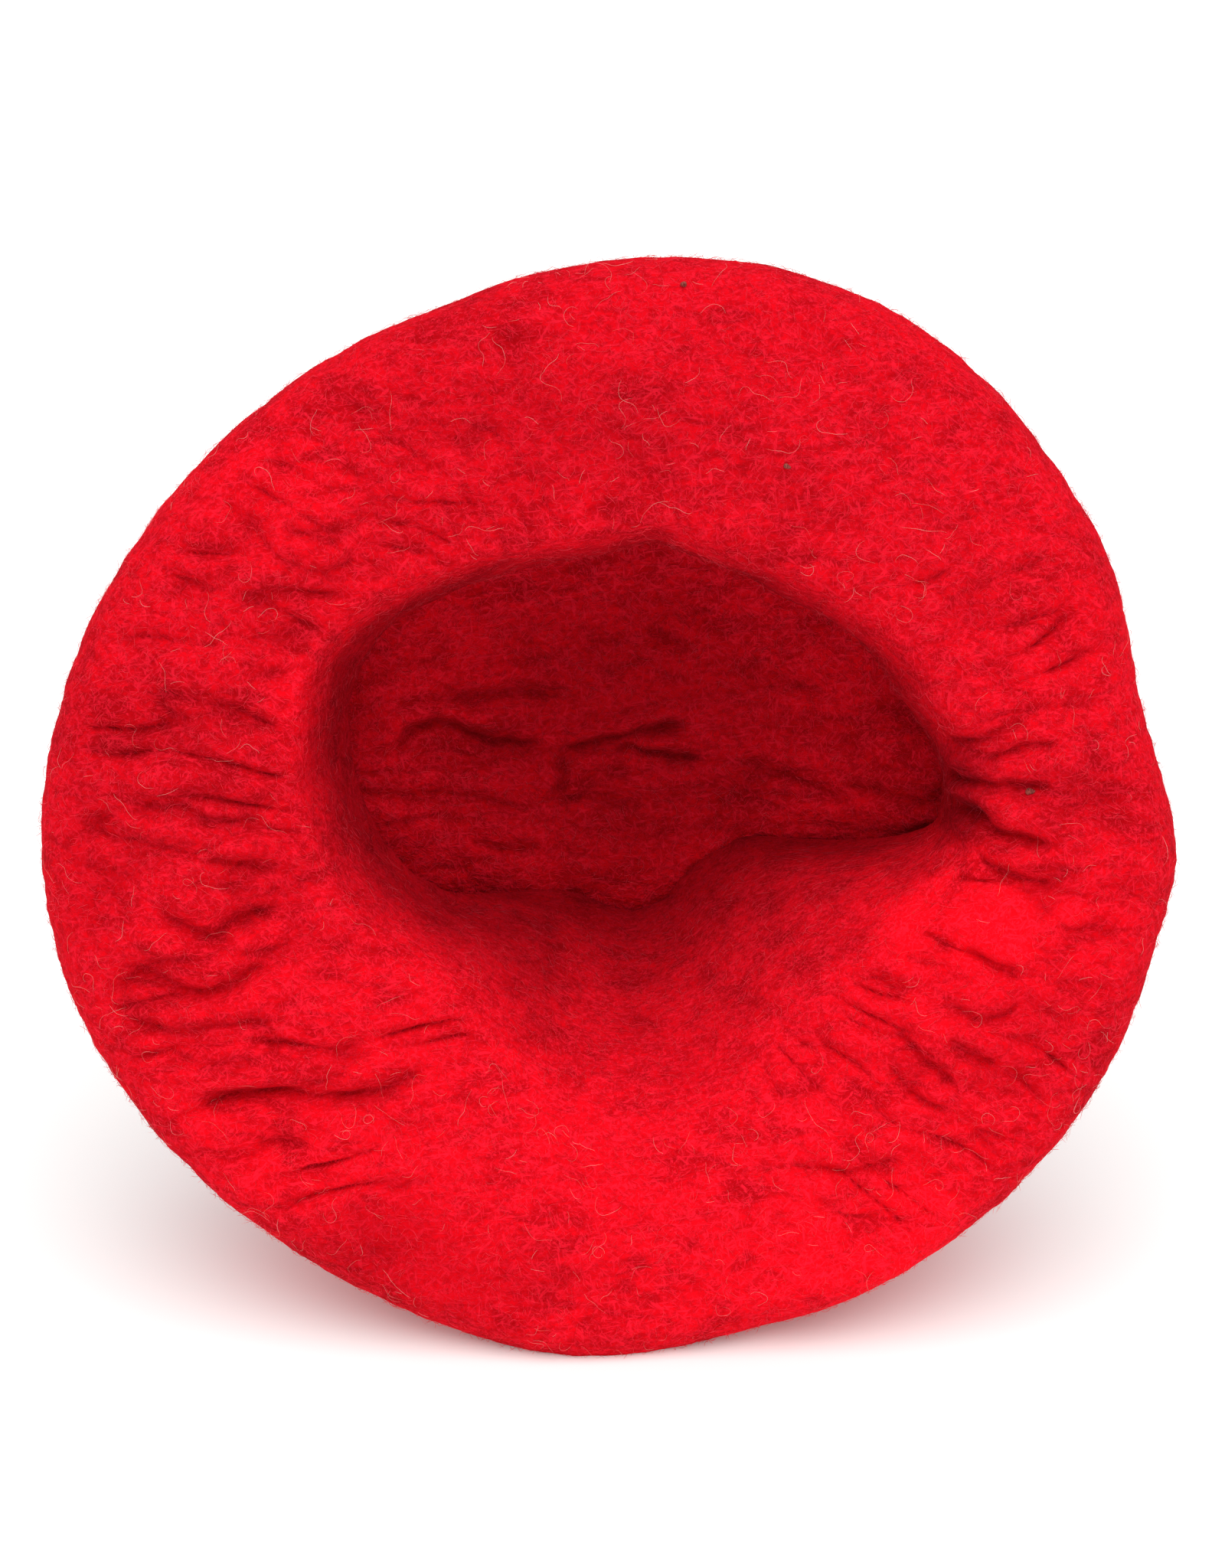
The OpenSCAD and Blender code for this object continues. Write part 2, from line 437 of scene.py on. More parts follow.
def underside_relief(a, s, r, h):
    """How far the outer face stands out of its plain shape, in front of the rim."""
    x = r * cosd(a)
    y = r * sind(a)
    from_lip = r - opening_r(a) - LIP_ROLL
    from_rim = rim_r(a) - r
    near_rim = eased((from_rim - 5) / 12)
    ring = eased((from_lip + 2) / 9) * near_rim * (s > 0.6)
    creased = eased((s - 0.3) / 0.25) * near_rim
    wander_x = x + 5 * noise(x / 26, y / 26, 3.1)
    wander_y = y + 5 * noise(x / 22, y / 22, 8.7)
    patchy = eased(0.55 + 1.1 * noise(x / 24, y / 16, 21.5))

    fan_left = 300 * wander_y / (200 - x)
    fan_right = 140 * wander_y / np.maximum(x + 40, 20)
    near_lip = eased((from_lip + 6) / 6) * eased((26 - from_lip) / 16)
    strong = ring * (0.3 + 0.7 * patchy)
    ripple = noise(x / 5, y / 4, 71.0)
    broken = eased(0.6 + 1.6 * noise(x / 13, y / 8, 73.0))
    total = 1.5 * noise(x / 60, y / 60, 0.4) * eased((from_rim - 2) / 16)
    # The hollow tone is painted shade: in the fold valleys, in the creases, and darker clouds on the
    # band's wall.
    hollow = np.zeros_like(x)
    for depth, where, field in (
        (2.9, strong * between(a, 150, 228, 22), noise(wander_x / 40, fan_left / 11, 1.7)),
        (2.3, strong * between(a, -52, 34, 16), noise(wander_x / 34, fan_right / 10, 4.4)),
        (1.8, strong * between(a, 110, 148, 18), noise(wander_x / 26, (wander_y + 0.35 * x) / 11, 9.2)),
        (0.8, near_lip * between(a, 50, 128, 14), noise(r / 26, a / 5.5, 14.0)),
    ):
        height, valley = folds(field + 0.05 * ripple, 0.125)
        total += depth * where * (0.8 + 0.4 * broken) * height
        hollow = np.maximum(hollow, 0.29 * depth * where * broken * valley)
    height, valley = crease_relief(x, y, UNDERSIDE_CREASES)
    total += creased * height
    hollow = np.maximum(hollow, 0.75 * creased * valley)
    wall = 1 - eased((s - 0.5) / 0.5)
    total += 1.6 * wall * noise(x / 22, y / 15, h / 18 + 77.0)
    hollow = np.maximum(hollow, 0.5 * wall * eased(0.2 + 1.1 * noise(x / 14, y / 9, h / 12 + 79.0)))
    return total + felt_grain(x, y, h), hollow


def crown_outer_relief(a, s, r, h):
    """The crown's outer face: broad dents and the faint ridges of its folding."""
    x = r * cosd(a)
    y = r * sind(a)
    from_rim = rim_r(a) - r
    start = eased((s - 3.0) / 0.2)
    dimple = np.exp(-(r / STEM_DIMPLE) ** 2)
    gathers = np.exp(-((r - 11) / 7) ** 2) * cosd(11 * a + 40 * noise(x / 9, y / 9, 41.0))
    broad = 2.2 * noise(x / 70, y / 70, 31.0) + 0.9 * noise(x / 30, y / 30, 33.0)
    height, valley = folds(noise(x / 45, y / 17, 37.0), 0.16)
    here = start * eased((from_rim - 4) / 25)
    total = start * broad + 0.9 * here * height - 1.6 * dimple + 0.45 * gathers + felt_grain(x, y, h)
    # The second value is painted shade in the folds, in the stem's dimple and between the gathers.
    return total, 0.35 * here * valley + 0.6 * dimple + 0.15 * np.maximum(-gathers, 0)


def outer_relief(a, s, r, h):
    total = np.zeros_like(a)
    hollow = np.zeros_like(a)
    for here, relief in ((s <= 3.0, underside_relief), (s > 3.0, crown_outer_relief)):
        total[here], hollow[here] = relief(a[here], s[here], r[here], h[here])
    return total + rim_bumps(a, s) + lip_bumps(a, s), hollow


def patches_at(patches, x, y):
    """The height of soft round patches on the disc, added up."""
    total = 0
    for height, across, up, half_width, half_height in patches:
        off_x = (x - across) / half_width
        off_y = (y - up) / half_height
        total = total + height * np.exp(-off_x ** 2 - off_y ** 2)
    return total


def bumps_at(bumps, a):
    """The height of soft bumps at clock angles, added up."""
    total = 0
    for height, middle, width in bumps:
        total = total + height * np.exp(-(turn_from(a, middle) / width) ** 2)
    return total


def lip_bumps(a, s):
    """Where the lip bulges into the opening or is drawn back from it, most of all at its corner."""
    return bumps_at(LIP_BUMPS, a) * eased((1.15 - s) / 0.5)


def rim_bumps(a, s):
    """The rim's own small bulges and notches, on both sides of its fold."""
    return bumps_at(RIM_BUMPS, a) * eased((s - 1.8) / 0.6) * eased((3.35 - s) / 0.3)


def inner_relief(a, s, r, h):
    """The crown's inner face, seen through the opening: a slumped pillow over the long crease."""
    x = r * cosd(a)
    y = r * sind(a)
    pillow = patches_at(PILLOW, x, y)
    broad = 1.8 * noise(x / 45, y / 26, 51.0) + 0.8 * noise(x / 16, y / 9, 53.0)
    across, across_valley = folds(noise(x / 70, y / 11, 57.0), 0.12)
    here = 0.9 * np.exp(-((y - 4) / 34) ** 2)
    height, valley = crease_relief(x, y, INNER_CREASES)
    # Painted shade in the creases and in the folds across the middle.
    hollow = np.maximum(1.1 * valley, 0.5 * here * across_valley)
    return pillow + broad + here * across + height + felt_grain(x, y, h), hollow


def with_tones(points, inside, hollow, painted_light):
    """Points with tones for the felt's colour, all painted light or shade: how far inside (painted
    shade), how deep in a crease (painted shade), how much painted light.
    """
    count = len(points)
    tones = [np.broadcast_to(np.clip(tone, 0, 1), count) for tone in (inside, hollow, painted_light)]
    return np.column_stack([points, *tones])


def outer_face(a, s):
    r, h, out_r, out_h = profile(a, s)
    lift, hollow = outer_relief(a, s, r, h)
    # Painted shade towards the inside of the hat: deeper down the band, next to its cut edge, and where
    # the lip turns straight in.
    near_edge = between(a, 205, 345, 15) * eased((0.34 - s) / 0.34)
    inside = BAND_DARKNESS * eased(h / INSIDE_DEPTH) + EDGE_DARKNESS * near_edge
    for darkness, first, last, soft, start, over in TURNED_LIP:
        turned = darkness * between(a, first, last, soft) * eased((start - s) / over)
        inside = np.maximum(inside, turned)
    inside = np.where(s < LIP_END, inside, 0)
    from_rim = rim_r(a) - r
    # Painted light over the lower underside, which faces up to the light, and patches of painted light;
    # patches below 0 add painted shade to the crease tone.
    painted_light = between(a, 212, 345, 28) * eased((s - 0.5) / 0.5) * eased((from_rim - 4) / 12) * (s < 3)
    patches = patches_at(LIGHT_AND_SHADE_PATCHES, r * cosd(a), r * sind(a)) * eased((s - 0.5) / 0.3) * (s < 3)
    painted_light = 0.5 * painted_light + np.maximum(patches, 0)
    hollow = hollow + np.maximum(-patches, 0)
    return with_tones(standing(a, r + lift * out_r, h + lift * out_h, 0.0), inside, hollow, painted_light)


def inner_face(a, s):
    r, h, out_r, out_h = profile(a, s)
    lift = np.zeros_like(a)
    hollow = np.zeros_like(a)
    seen = s > RIM_END
    lift[seen], hollow[seen] = inner_relief(a[seen], s[seen], r[seen], h[seen])
    lift *= eased((s - RIM_END) / 0.2)
    puckered = PUCKER_THICKNESS * eased((s - 0.5) / 0.4) * (1 - eased((s - 1.9) / 0.3))
    deep = FELT + lift + puckered - lip_bumps(a, s)
    # Painted shade on the crown's inner face, fading towards its edges.
    off_middle = np.hypot(r * cosd(a) - 4, 1.1 * (r * sind(a) - 12))
    inside = INNER_DARKNESS * (1 - 0.95 * eased((off_middle - 26) / 44))
    return with_tones(standing(a, r - deep * out_r, h - deep * out_h, 1.5), inside, hollow, 0.0)


# ---------------------------------------------------------------- building closed meshes


def ring_angles(count):
    return np.arange(count) * (360.0 / count)


def make_rings(face, stations, counts):
    """One ring of points for each station, all found in one go."""
    angles = [ring_angles(n) for n in counts]
    a = np.concatenate(angles)
    s = np.concatenate([np.full(n, station) for n, station in zip(counts, stations)])
    points = face(a, s)
    return np.split(points, np.cumsum(counts)[:-1])


def strip(first, n, second, m):
    """Faces between ring first with n points and ring second with m points."""
    if n == m:
        i = np.arange(n)
        j = (i + 1) % n
        return np.stack([first + i, first + j, second + j, second + i], -1), np.zeros((0, 3), int)
    if n < m:
        quads, triangles = strip(second, m, first, n)
        return quads[:, ::-1], triangles[:, ::-1]
    ratio = n // m
    i = np.arange(n)
    if m == 1:
        return np.zeros((0, 4), int), np.stack([first + i, first + (i + 1) % n, np.full(n, second)], -1)
    part = i % ratio
    segment = i // ratio
    corner = (segment + (part >= ratio / 2)) % m
    triangles = [np.stack([first + i, first + (i + 1) % n, second + corner], -1)]
    k = np.arange(m)
    apex = first + k * ratio + (ratio + 1) // 2
    triangles.append(np.stack([apex, second + (k + 1) % m, second + k], -1))
    return np.zeros((0, 4), int), np.vstack(triangles)


def mesh_object(name, points, quads, triangles, material, tones):
    """A smooth mesh from points in metres, with tones as attributes of its points."""
    corners = np.concatenate([quads.ravel(), triangles.ravel()])
    sizes = np.concatenate([np.full(len(quads), 4), np.full(len(triangles), 3)])
    mesh = bpy.data.meshes.new(name)
    mesh.vertices.add(len(points))
    mesh.vertices.foreach_set("co", np.ascontiguousarray(points, np.float32).ravel())
    mesh.loops.add(len(corners))
    mesh.loops.foreach_set("vertex_index", corners.astype(np.int32))
    mesh.polygons.add(len(sizes))
    mesh.polygons.foreach_set("loop_start", (np.cumsum(sizes) - sizes).astype(np.int32))
    mesh.polygons.foreach_set("use_smooth", np.ones(len(sizes), bool))
    mesh.update(calc_edges=True)
    mesh.validate()
    mesh.materials.append(material)
    for tone, values in tones.items():
        layer = mesh.attributes.new(tone, "FLOAT", "POINT")
        layer.data.foreach_set("value", np.ascontiguousarray(values, np.float32))
    piece = bpy.data.objects.new(name, mesh)
    bpy.context.scene.collection.objects.link(piece)
    return piece


def signed_volume(points, quads, triangles):
    corners = np.vstack([quads[:, [0, 1, 2]], quads[:, [0, 2, 3]], triangles])
    a, b, c = (points[corners[:, i]] for i in range(3))
    return np.sum(a * np.cross(b, c)) / 6


def shell(name, rings, closed, material):
    """A closed skin through the rings.  A closed one also joins the last ring to the first."""
    counts = [len(ring) for ring in rings]
    starts = np.cumsum([0] + counts)
    quads = []
    triangles = []
    last = len(rings) if closed else len(rings) - 1
    for i in range(last):
        j = (i + 1) % len(rings)
        q, t = strip(starts[i], counts[i], starts[j], counts[j])
        quads.append(q)
        triangles.append(t)
    rings = np.vstack(rings)
    points = to_frame(rings[:, :3])
    quads = np.vstack(quads)
    triangles = np.vstack(triangles)
    if signed_volume(points, quads, triangles) < 0:
        quads = quads[:, ::-1]
        triangles = triangles[:, ::-1]
    tones = {"inside": rings[:, 3], "hollow": rings[:, 4], "painted_light": rings[:, 5]}
    return mesh_object(name, points, quads, triangles, material, tones)


def surface_normals(face, a, s):
    """Normals of a sculpted face, from nearby points on it."""
    small_a = 0.25
    small_s = 0.006
    across = (face(a + small_a, s) - face(a - small_a, s))[:, :3]
    low = np.maximum(s - small_s, 0)
    high = np.minimum(s + small_s, CROWN_MIDDLE)
    along = (face(a, high) - face(a, low))[:, :3]
    n = np.cross(along, across)
    if face is inner_face:
        n = -n
    return n / np.linalg.norm(n, axis=1)[:, None]


# Points round a ring, and steps from ring to ring along the outer face of each zone.
FINE = 1080
MEDIUM = 540
COARSE = 270
LIP_STEPS = 64
UNDERSIDE_STEPS = 70
RIM_STEPS = 26
BEHIND_RIM_STEPS = 44
SIDE_STEPS = 56
# The station from which the crown's rings get fewer points.
CROWN_THINS = 3.80


def zone_rings(outer_rows, inner_rows):
    """Rings round a zone: along the outer face and back along the inner face."""
    outer_s, outer_n = zip(*outer_rows)
    inner_s, inner_n = zip(*inner_rows)
    return make_rings(outer_face, outer_s, outer_n), make_rings(inner_face, inner_s, inner_n)


def rows(first, last, steps, count):
    return [(s, count) for s in np.linspace(first, last, steps + 1)]


def smooth_seams(piece, borders):
    """Gives the outer face's border rings the true normals, so that two zones meet unseen."""
    normals = np.zeros((len(piece.data.vertices), 3))
    for start, face, station, count in borders:
        a = ring_angles(count)
        normals[start:start + count] = surface_normals(face, a, np.full(count, station))
    piece.data.normals_split_custom_set_from_vertices(normals)


def rounded_edge(outer_ring, inner_ring, steps=4):
    """Rings round the band's cut edge, between its two faces."""
    middle = (outer_ring + inner_ring) / 2
    half = (outer_ring - inner_ring) / 2
    a = ring_angles(len(outer_ring))
    s = np.zeros(len(a))
    on = outer_face(a, s + 0.02) - outer_face(a, s)
    on[:, 3:] = 0
    back = -on / np.linalg.norm(on, axis=1)[:, None] * np.linalg.norm(half[:, :3], axis=1)[:, None]
    turns = np.pi * np.arange(1, steps) / steps
    return [middle + np.cos(turn) * half + np.sin(turn) * back for turn in turns]


def build_felt(material_crown, material_underside):
    pieces = {}

    outer, inner = zone_rings(rows(0, LIP_END, LIP_STEPS, FINE), rows(LIP_END, 0, 24, COARSE))
    edge = rounded_edge(outer[0][::4], inner[-1])
    lip = shell("felt_opening_lip", outer + inner + edge[::-1], True, material_underside)
    smooth_seams(lip, [(LIP_STEPS * FINE, outer_face, LIP_END, FINE)])
    pieces["opening_lip"] = lip

    outer, inner = zone_rings(
        rows(LIP_END, UNDERSIDE_END, UNDERSIDE_STEPS, FINE),
        rows(UNDERSIDE_END, LIP_END, 12, COARSE),
    )
    under = shell("felt_underside", outer + inner, True, material_underside)
    smooth_seams(under, [
        (0, outer_face, LIP_END, FINE),
        (UNDERSIDE_STEPS * FINE, outer_face, UNDERSIDE_END, FINE),
    ])
    pieces["underside"] = under

    outer, inner = zone_rings(
        rows(UNDERSIDE_END, 3.0, RIM_STEPS, FINE) + rows(3.0, RIM_END, BEHIND_RIM_STEPS, MEDIUM)[1:],
        rows(RIM_END, UNDERSIDE_END, 26, COARSE),
    )
    edge_piece = shell("felt_rolled_edge", outer + inner, True, material_underside)
    last_ring = (RIM_STEPS + 1) * FINE + (BEHIND_RIM_STEPS - 1) * MEDIUM
    smooth_seams(edge_piece, [
        (0, outer_face, UNDERSIDE_END, FINE),
        (last_ring, outer_face, RIM_END, MEDIUM),
    ])
    pieces["rolled_edge"] = edge_piece

    outer, inner = zone_rings(
        rows(RIM_END, SIDE_END, SIDE_STEPS, MEDIUM),
        rows(SIDE_END, RIM_END, 40, MEDIUM),
    )
    side = shell("felt_crown_side", outer + inner, True, material_crown)
    smooth_seams(side, [
        (0, outer_face, RIM_END, MEDIUM),
        (SIDE_STEPS * MEDIUM, outer_face, SIDE_END, MEDIUM),
        ((SIDE_STEPS + 1) * MEDIUM, inner_face, SIDE_END, MEDIUM),
    ])
    pieces["crown_side"] = side

    outer_rows = rows(SIDE_END, CROWN_THINS, 58, MEDIUM) + middle_part()
    inner_rows = rows(SIDE_END, CROWN_THINS, 74, MEDIUM) + middle_part()
    outer, inner = zone_rings(outer_rows, inner_rows)
    rings = outer[::-1] + inner
    top = shell("felt_crown_top", rings, False, material_crown)
    outer_start = sum(n for _, n in outer_rows[1:])
    smooth_seams(top, [
        (outer_start, outer_face, SIDE_END, MEDIUM),
        (outer_start + MEDIUM, inner_face, SIDE_END, MEDIUM),
    ])
    pieces["crown_top"] = top
    return pieces


def middle_part():
    """Rings that thin out towards the crown's middle, and its single middle point."""
    part = []
    for low, high, steps, count in (
        (CROWN_THINS, 3.88, 22, 270),
        (3.88, 3.95, 18, 90),
        (3.95, LAST_RING, 10, 30),
    ):
        part += rows(low, high, steps, count)[1:]
    return part + [(CROWN_MIDDLE, 1)]


# ---------------------------------------------------------------- fibres, stem and burrs


# How many stations are tried for a fibre's root.
ROOT_STATIONS = 240


def facing_out(a, out_r, out_h):
    """A direction of the hat's frame, as a direction of the standing one."""
    x = out_r * cosd(a)
    y = out_r * sind(a) * sind(LEAN) + out_h * cosd(LEAN)
    z = out_r * sind(a) * cosd(LEAN) - out_h * sind(LEAN)
    return np.stack([x, y, z], -1)


def spread_roots(count, random, stations, clumping):
    """Clock angles and stations of fibre roots, spread by the area of the face between two stations."""
    a, s = np.meshgrid(np.arange(0.0, 360.0, 2.0), np.linspace(*stations, ROOT_STATIONS))
    a = a.ravel()
    s = s.ravel()
    r, _ = outer_line(a, s)
    step_r, step_h = profile_step(a, s)
    weight = r * np.hypot(step_r, step_h)
    if clumping:
        places = standing(a, *outer_line(a, s), 0.0)
        weight *= np.exp(clumping * noise(*(places.T / 24.0)))
    cells = random.choice(len(a), count, p=weight / weight.sum())
    a = a[cells] + random.uniform(-1, 1, count)
    s = s[cells] + random.uniform(-0.5, 0.5, count) * (stations[1] - stations[0]) / (ROOT_STATIONS - 1)
    return a % 360, s


def profile_step(a, s):
    """How fast r and h change along the profile, for one unit of station."""
    before = outer_line(a, s - SMALL_STATION)
    after = outer_line(a, s + SMALL_STATION)
    along = 2 * SMALL_STATION
    return (after[0] - before[0]) / along, (after[1] - before[1]) / along


def fibre_paths(random, count, points, length, curl, lift, free_share, stations, face, clumping=0.0):
    """Paths of loose fibres that wander over a face and lift off it a little.

    Gives their points, the directions out of the felt there and the painted inside shade of the felt
    there."""
    a, s = spread_roots(count, random, stations, clumping)
    lengths = length[0] + (length[1] - length[0]) * random.random(count) ** 2
    heading = random.uniform(0, 2 * np.pi, count)
    bend = random.normal(0, curl, count)
    twists = random.normal(0, curl, (count, points))
    lifts = random.uniform(*lift, count)
    free = random.random(count) < free_share
    all_a = np.zeros((count, points))
    all_s = np.zeros((count, points))
    all_a[:, 0] = a
    all_s[:, 0] = s
    step = lengths / (points - 1)
    for i in range(1, points):
        r, _ = outer_line(a, s)
        along = np.hypot(*profile_step(a, s))
        bend = 0.75 * bend + 0.7 * twists[:, i]
        heading = heading + bend * step
        a = a + np.degrees(step * np.cos(heading) / np.maximum(r, 12))
        s = np.clip(s + step * np.sin(heading) / along, 0.05, 3.98)
        all_a[:, i] = a
        all_s[:, i] = s
    t = np.linspace(0, 1, points)[None, :]
    arch = lifts[:, None] * np.sin(np.pi * t) ** 0.7 - 0.12
    rising = 2.2 * lifts[:, None] * t ** 1.5 - 0.12
    height = np.where(free[:, None], rising, arch)
    flat_a = all_a.ravel() % 360
    flat_s = all_s.ravel()
    _, _, out_r, out_h = profile(flat_a, flat_s)
    normals = facing_out(flat_a, out_r, out_h)
    if face is inner_face:
        normals = -normals
    felt = face(flat_a, flat_s)
    paths = felt[:, :3] + normals * height.ravel()[:, None]
    paths[:, 2] = np.maximum(paths[:, 2], 0.1)
    inside = felt[:, 3].reshape(count, points)
    return paths.reshape(count, points, 3), normals.reshape(count, points, 3), inside


def fibre_mesh(name, paths, normals, inside, thickness, material):
    """Closed three-sided tubes along the paths, pointed at both ends."""
    count, points, _ = paths.shape
    tangents = np.gradient(paths, axis=1)
    tangents /= np.linalg.norm(tangents, axis=2)[:, :, None] + 1e-9
    sideways = np.cross(tangents, normals)
    sideways /= np.linalg.norm(sideways, axis=2)[:, :, None] + 1e-9
    upward = np.cross(sideways, tangents)
    t = np.linspace(0, 1, points)[None, :, None]
    radius = thickness[:, None, None] / 2 * (0.35 + 0.65 * np.sin(np.pi * t) ** 0.5)
    inner = slice(1, points - 1)
    sides = []
    for turn in np.radians([90, 210, 330]):
        around = np.cos(turn) * sideways + np.sin(turn) * upward
        sides.append((paths + radius * around)[:, inner])
    rings = np.stack(sides, 2).reshape(count, -1, 3)
    vertices = np.concatenate([paths[:, :1], rings, paths[:, -1:]], 1)
    each = vertices.shape[1]
    faces = []
    for k in range(3):
        j = (k + 1) % 3
        faces.append([0, 1 + j, 1 + k])
        for i in range(points - 3):
            low = 1 + 3 * i
            faces.append([low + k, low + j, low + 3 + j])
            faces.append([low + k, low + 3 + j, low + 3 + k])
        last = 1 + 3 * (points - 3)
        faces.append([last + k, last + j, each - 1])
    faces = np.array(faces)
    triangles = (faces[None] + each * np.arange(count)[:, None, None]).reshape(-1, 3)
    vertices = to_frame(vertices.reshape(-1, 3))
    quads = np.zeros((0, 4), int)
    if signed_volume(vertices, quads, triangles) < 0:
        triangles = triangles[:, ::-1]
    tone = np.concatenate([inside[:, :1], np.repeat(inside[:, inner], 3, axis=1), inside[:, -1:]], 1)
    return mesh_object(name, vertices, quads, triangles, material, {"inside": tone.ravel()})


# Over which stations fibres lie: fuzz on the outer face and on the crown's inner face, and strays.
FUZZ_STATIONS = (0.1, 3.97)
INNER_FUZZ_STATIONS = (3.45, 3.97)
STRAY_STATIONS = (0.95, 3.97)
FUZZ_PIECES = 4
FUZZ_EACH = 8000
INNER_FUZZ = 6000
STRAY_COUNT = 1500
FIBRE_SEED = 5
INNER_FUZZ_SEED = FIBRE_SEED + 50
STRAY_SEED = FIBRE_SEED + 100


def fuzz_piece(name, count, seed, stations, face, material):
    random = np.random.default_rng(seed)
    paths, normals, inside = fibre_paths(
        random, count, 6, length=(1.8, 6.0), curl=0.35, lift=(0.12, 0.95), free_share=0.4,
        stations=stations, face=face,
    )
    thickness = random.uniform(0.06, 0.12, count)
    return fibre_mesh(name, paths, normals, inside, thickness, material)


def build_fuzz(material):
    pieces = []
    for number in range(1, FUZZ_PIECES + 1):
        seed = FIBRE_SEED + number
        pieces.append(fuzz_piece(f"fuzz_{number}", FUZZ_EACH, seed, FUZZ_STATIONS, outer_face, material))
    pieces.append(fuzz_piece(
        "fuzz_inside", INNER_FUZZ, INNER_FUZZ_SEED, INNER_FUZZ_STATIONS, inner_face, material,
    ))
    return pieces


def build_strays(material):
    random = np.random.default_rng(STRAY_SEED)
    paths, normals, inside = fibre_paths(
        random, STRAY_COUNT, 20, length=(2.5, 13.0), curl=0.42, lift=(0.3, 1.2), free_share=0.3,
        stations=STRAY_STATIONS, face=outer_face, clumping=3.5,
    )
    thickness = random.uniform(0.05, 0.09, STRAY_COUNT)
    return fibre_mesh("stray_fibres", paths, normals, inside, thickness, material)


def tube(name, path, radii, around, material, lump=0.0):
    """A closed round tube of rings along the path, with its ends closed to a point."""
    path = np.array(path, float)
    tangents = np.gradient(path, axis=0)
    tangents /= np.linalg.norm(tangents, axis=1)[:, None]
    side = np.cross(tangents, [0.0, 0.3, 1.0])
    side /= np.linalg.norm(side, axis=1)[:, None]
    up = np.cross(side, tangents)
    turn = np.radians(ring_angles(around))
    rings = []
    for i in range(1, len(path) - 1):
        ring = path[i] + radii[i] * (np.cos(turn)[:, None] * side[i] + np.sin(turn)[:, None] * up[i])
        swell = 1 + lump * noise(*(ring.T / 1.3)) + 0.6 * lump * noise(*(ring.T / 0.6))
        rings.append(path[i] + (ring - path[i]) * swell[:, None])
    rings = [path[:1]] + rings + [path[-1:]]
    rings = [with_tones(ring, 0.0, 0.0, 0.0) for ring in rings]
    return shell(name, rings, False, material)


STEM_LENGTH = 15.0
STEM_INSIDE = 1.5
STEM_ROOT_RADIUS = 2.8
STEM_TIP_RADIUS = 1.8
STEM_DROOP = 1.1

# Plant specks caught in the felt: (across, up) from the disc's middle, and half their length.  The
# places were read off the photograph and turned into millimetres by a separate program.
BURRS = [((17.5, 139.0), 1.2), ((43.5, 94.5), 1.0), ((106.2, 11.4), 1.3)]
BURR_SEED = 70
BURR_LIFT = 0.35


def build_stem(material):
    """The felted stalk at the crown's middle: flared where it grows out of the felt, bent at its tip."""
    tilt = math.atan(CROWN_SLOPE) - math.radians(LEAN)
    forward = np.array([0.0, math.cos(tilt), math.sin(tilt)])
    droop = np.array([0.25, 0.0, -1.0])
    middle = standing(np.zeros(1), np.zeros(1), np.full(1, CROWN_DEPTH), 0.0)[0]
    t = np.linspace(0, 1, 60)
    path = middle + np.outer(-STEM_INSIDE + (STEM_LENGTH + STEM_INSIDE) * t, forward)
    path += np.outer(STEM_DROOP * t ** 2.5, droop)
    flare = 2.6 * np.exp(-((t * (STEM_LENGTH + STEM_INSIDE)) / 2.4) ** 2)
    taper = STEM_ROOT_RADIUS + (STEM_TIP_RADIUS - STEM_ROOT_RADIUS) * t
    tip = np.sqrt(np.clip(1 - ((t - 0.88) / 0.12) ** 2 * (t > 0.88), 0.0, 1))
    return tube("felt_stem", path, (taper + flare) * tip, 48, material, lump=0.12)


def build_burr(number, place, half, material):
    """A dry plant speck, a little ridged, half sunk in the felt."""
    a = np.array([math.degrees(math.atan2(place[1], place[0])) % 360])
    distance = math.hypot(*place)
    stations = np.linspace(1.0, 2.9, 400)
    r, _ = outer_line(np.full(len(stations), a[0]), stations)
    s = np.array([np.interp(distance, r, stations)])
    middle = outer_face(a, s)[0, :3]
    _, _, out_r, out_h = profile(a, s)
    middle = middle + BURR_LIFT * facing_out(a, out_r, out_h)[0]
    random = np.random.default_rng(BURR_SEED + number)
    direction = random.normal(size=3) * [1.0, 0.3, 0.6]
    direction /= np.linalg.norm(direction)
    t = np.linspace(-1, 1, 26)
    path = middle + np.outer(half * t, direction)
    radii = 0.62 * half * np.sqrt(np.clip(1 - t ** 2, 0, 1)) * (1 + 0.25 * t)
    return tube(f"burr_{number}", path, radii, 30, material, lump=0.5)


# ---------------------------------------------------------------- materials

RED_DARK = (0.41, 0.0014, 0.0045, 1)
RED_MID = (0.81, 0.0024, 0.0095, 1)
RED_LIGHT = (0.97, 0.0150, 0.0420, 1)
# Painted light: how much the felt is lightened.
PAINTED_LIGHT_GAIN = (1.30, 1.1, 1.15, 1)
# Painted shade: in creases, and inside the hat.
CREASE_SHADE = (0.46, 0.34, 0.38, 1)
INSIDE_SHADE = (0.40, 0.36, 0.40, 1)
# The floor's painted glow.
FLOOR_GLOW = 0.10


